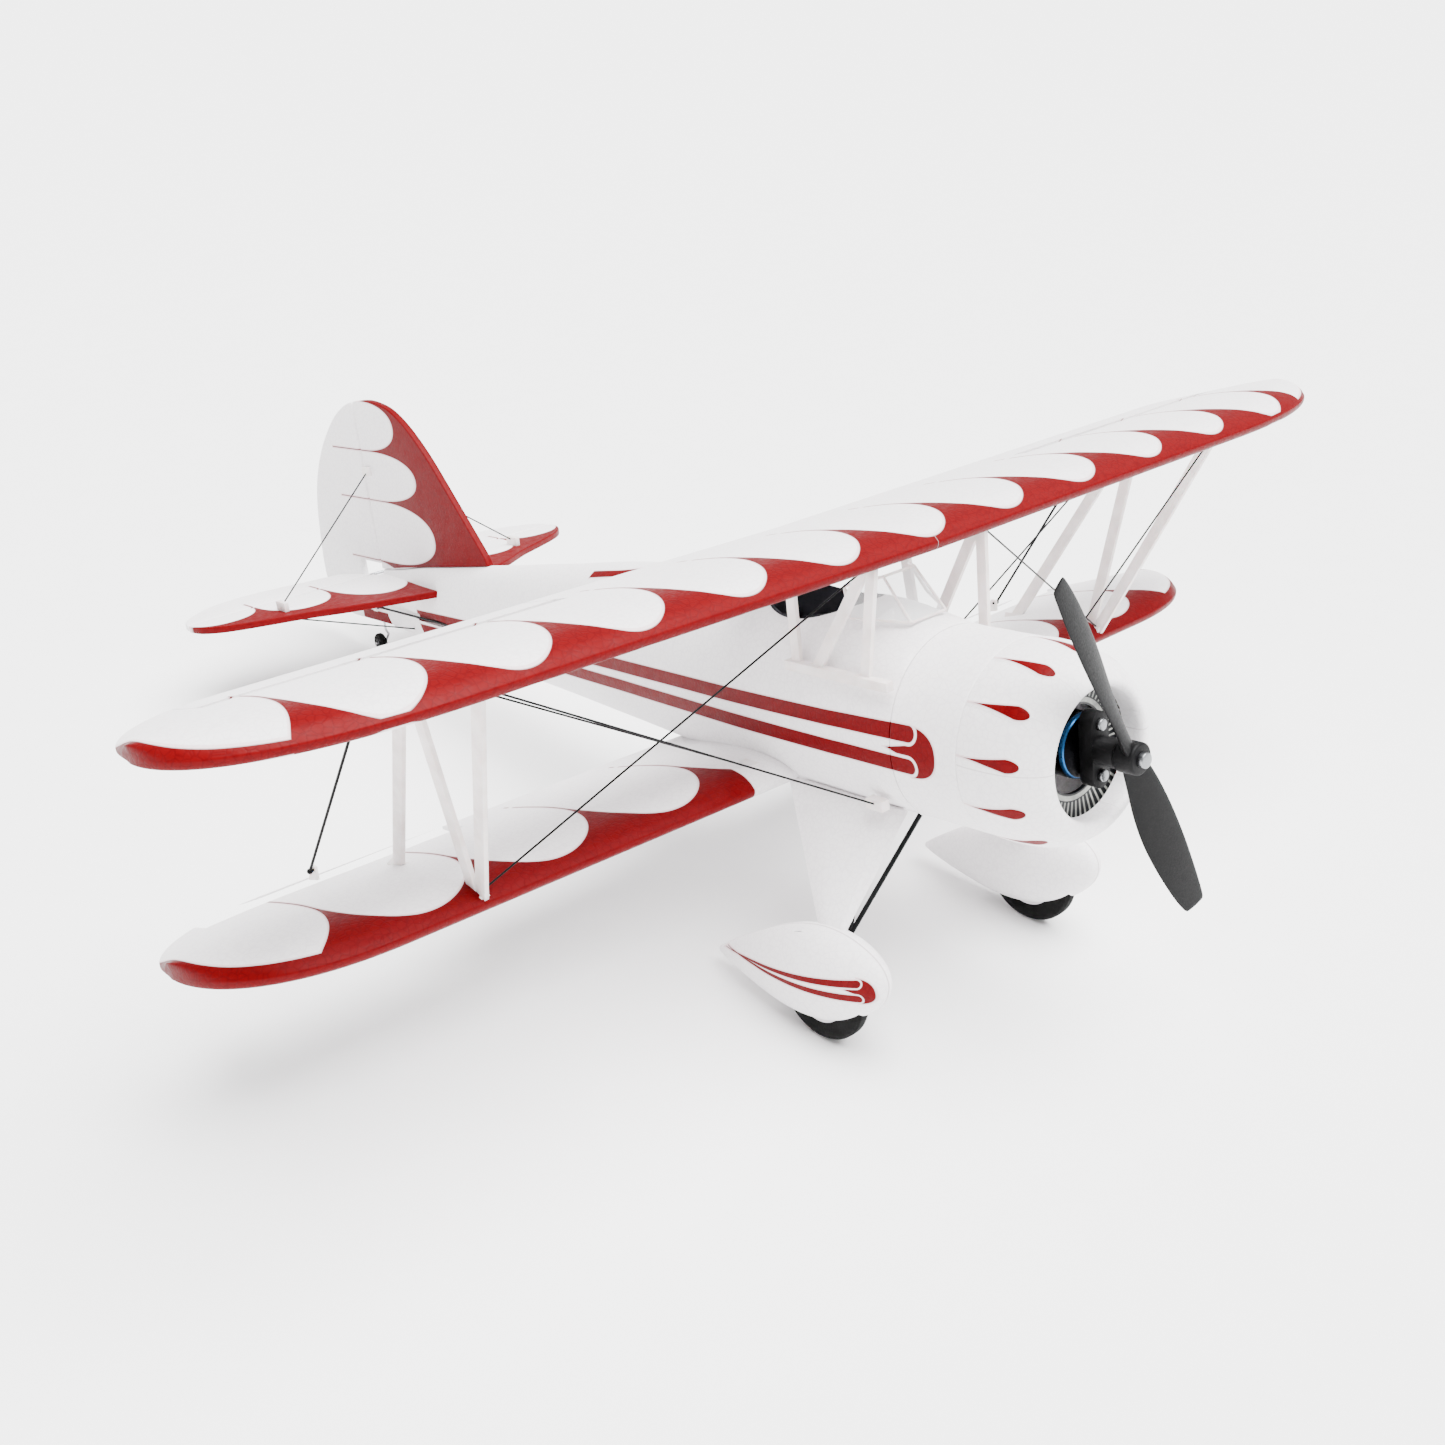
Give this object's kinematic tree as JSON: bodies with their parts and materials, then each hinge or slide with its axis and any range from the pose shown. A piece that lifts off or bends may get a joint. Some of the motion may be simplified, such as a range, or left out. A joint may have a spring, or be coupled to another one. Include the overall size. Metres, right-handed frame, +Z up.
{
  "type": "rc foam airplane",
  "caption": "Radio-controlled foam biplane with radial cowl, two-blade propeller, strutted wings, faired wheels and hinged control surfaces.",
  "frame": {"origin": "centre of the bounding box on the floor, under the fuselage", "axes": "+Z up, nose toward -Y, left wing toward +X; standing on its main wheels and tail wheel, nose up 9.5 degrees"},
  "size_m": [0.5492, 0.5487, 0.1978],
  "materials": {
    "white_foam": "satin",
    "red_white_foam": "gloss",
    "white_plastic": "satin",
    "black_plastic": "satin",
    "black_wire": "satin",
    "steel_wire": "satin",
    "tyre": "matte",
    "clear_plastic": "gloss",
    "dark_liner": "matte",
    "brown_trim": "satin",
    "printed_disc": "satin",
    "anodised_metal": "satin",
    "screw_metal": "polished",
    "battery_wrap": "gloss",
    "circuit_board": "satin",
    "servo_case": "gloss",
    "copper_stack": "satin"
  },
  "bodies": {
    "airframe": {"axles": "steel_wire", "battery": "battery_wrap", "cabanes": "white_plastic", "cockpit_liner": "dark_liner", "cowl": "white_foam", "dummy_engine_disc": "printed_disc", "fin": "red_white_foam", "firewall": "black_plastic", "fuselage_half_left": "white_foam", "fuselage_half_right": "white_foam", "gear_wires": "black_wire", "headrest": "brown_trim", "interplane_wires": "black_wire", "leg_fairings": "white_foam", "lower_wing": "red_white_foam", "motor_mount": "black_plastic", "motor_stator": "copper_stack", "n_struts": "white_plastic", "nose_section": "white_foam", "receiver_board": "circuit_board", "rigging_lugs": "white_plastic", "servos": "servo_case", "stabiliser": "red_white_foam", "tail_brace_wires": "black_wire", "upper_wing": "red_white_foam", "wheel_pant_left": "white_foam", "wheel_pant_right": "white_foam", "windscreen": "clear_plastic"},
    "propeller_unit": {"propeller": "black_plastic", "prop_adapter": "black_plastic", "prop_screws": "screw_metal", "motor_bell": "anodised_metal", "motor_shaft": "steel_wire"},
    "wheel_left": {"tyre_left": "tyre", "wheel_hub_left": "white_plastic"},
    "wheel_right": {"tyre_right": "tyre", "wheel_hub_right": "white_plastic"},
    "rudder": {"rudder": "red_white_foam", "rudder_horn": "white_plastic", "tail_wheel_wire": "steel_wire"},
    "tail_wheel": {"tail_wheel_tyre": "tyre", "tail_wheel_hub": "black_plastic"},
    "rudder_rod": {"rudder_pushrod": "black_wire"},
    "rudder_arm": {"rudder_servo_arm": "white_plastic"},
    "elevator": {"elevator_halves": "red_white_foam", "elevator_joiner": "steel_wire", "elevator_horn": "white_plastic"},
    "elevator_rod": {"elevator_pushrod": "black_wire"},
    "elevator_arm": {"elevator_servo_arm": "white_plastic"},
    "hatch": {"battery_hatch": "white_foam"},
    "lower_aileron_left": {"lower_aileron_left": "red_white_foam", "link_horn_lower_left": "white_plastic"},
    "upper_aileron_left": {"upper_aileron_left": "red_white_foam", "link_horn_upper_left": "white_plastic"},
    "link_left": {"aileron_link_left": "black_wire"},
    "lower_aileron_right": {"lower_aileron_right": "red_white_foam", "link_horn_lower_right": "white_plastic"},
    "upper_aileron_right": {"upper_aileron_right": "red_white_foam", "link_horn_upper_right": "white_plastic"},
    "link_right": {"aileron_link_right": "black_wire"}
  },
  "joints": [
    {"name": "propeller_spin", "type": "hinge", "parent": "airframe", "child": "propeller_unit", "pos_m": [0, -0.26122, 0.12416], "axis": [0, 0.9863, -0.165], "continuous": true},
    {"name": "wheel_left_spin", "type": "hinge", "parent": "airframe", "child": "wheel_left", "pos_m": [0.059, -0.18297, 0.021], "axis": [1, 0, 0], "continuous": true},
    {"name": "wheel_right_spin", "type": "hinge", "parent": "airframe", "child": "wheel_right", "pos_m": [-0.059, -0.18297, 0.021], "axis": [1, 0, 0], "continuous": true},
    {"name": "rudder_hinge", "type": "hinge", "parent": "airframe", "child": "rudder", "pos_m": [0, 0.20825, 0.0456], "axis": [0, 0.165, 0.9863], "range_deg": [-20, 20]},
    {"name": "tail_wheel_spin", "type": "hinge", "parent": "rudder", "child": "tail_wheel", "pos_m": [0, 0.22082, 0.005], "axis": [1, 0, 0], "continuous": true},
    {"name": "rudder_rod_pivot", "type": "hinge", "parent": "rudder", "child": "rudder_rod", "pos_m": [-0.008, 0.20611, 0.03278], "axis": [0, 0.165, 0.9863], "range_deg": [-20, 20]},
    {"name": "rudder_arm_pivot", "type": "hinge", "parent": "airframe", "child": "rudder_arm", "pos_m": [0, -0.06627, 0.07734], "axis": [0, 0.165, 0.9863], "range_deg": [-20, 20]},
    {"name": "elevator_hinge", "type": "hinge", "parent": "airframe", "child": "elevator", "pos_m": [0, 0.21212, 0.04748], "axis": [1, 0, 0], "range_deg": [-20, 20]},
    {"name": "elevator_rod_pivot", "type": "hinge", "parent": "elevator", "child": "elevator_rod", "pos_m": [0.009, 0.2108, 0.03959], "axis": [1, 0, 0], "range_deg": [-20, 20]},
    {"name": "elevator_arm_pivot", "type": "hinge", "parent": "airframe", "child": "elevator_arm", "pos_m": [0.0072, -0.09421, 0.09216], "axis": [1, 0, 0], "range_deg": [-20, 20]},
    {"name": "lower_aileron_left_hinge", "type": "hinge", "parent": "airframe", "child": "lower_aileron_left", "pos_m": [0.187, -0.05805, 0.05985], "axis": [0.9999, 0.0019, 0.0115], "range_deg": [-18, 18]},
    {"name": "upper_aileron_left_hinge", "type": "hinge", "parent": "airframe", "child": "upper_aileron_left", "pos_m": [0.187, -0.11712, 0.16851], "axis": [0.9999, 0.0019, 0.0115], "range_deg": [-18, 18]},
    {"name": "link_left_pivot", "type": "hinge", "parent": "lower_aileron_left", "child": "link_left", "pos_m": [0.187, -0.05172, 0.06132], "axis": [0.9999, 0.0019, 0.0115], "range_deg": [-22, 22]},
    {"name": "lower_aileron_right_hinge", "type": "hinge", "parent": "airframe", "child": "lower_aileron_right", "pos_m": [-0.187, -0.05805, 0.05985], "axis": [0.9999, -0.0019, -0.0115], "range_deg": [-18, 18]},
    {"name": "upper_aileron_right_hinge", "type": "hinge", "parent": "airframe", "child": "upper_aileron_right", "pos_m": [-0.187, -0.11712, 0.16851], "axis": [0.9999, -0.0019, -0.0115], "range_deg": [-18, 18]},
    {"name": "link_right_pivot", "type": "hinge", "parent": "lower_aileron_right", "child": "link_right", "pos_m": [-0.187, -0.05172, 0.06132], "axis": [0.9999, -0.0019, -0.0115], "range_deg": [-22, 22]},
    {"name": "hatch_lift", "type": "slide", "parent": "airframe", "child": "hatch", "axis": [0, -0.165, -0.9863], "range_m": [0, 0.025]}
  ],
  "couplings": [
    {"joint": "lower_aileron_right_hinge", "follows": "lower_aileron_left_hinge", "ratio": -1},
    {"joint": "upper_aileron_left_hinge", "follows": "lower_aileron_left_hinge", "ratio": 1},
    {"joint": "upper_aileron_right_hinge", "follows": "lower_aileron_left_hinge", "ratio": -1},
    {"joint": "link_left_pivot", "follows": "lower_aileron_left_hinge", "ratio": -1.1391},
    {"joint": "link_right_pivot", "follows": "lower_aileron_left_hinge", "ratio": 1.1391},
    {"joint": "rudder_rod_pivot", "follows": "rudder_hinge", "ratio": -1},
    {"joint": "rudder_arm_pivot", "follows": "rudder_hinge", "ratio": 1},
    {"joint": "elevator_rod_pivot", "follows": "elevator_hinge", "ratio": -1},
    {"joint": "elevator_arm_pivot", "follows": "elevator_hinge", "ratio": 1}
  ]
}
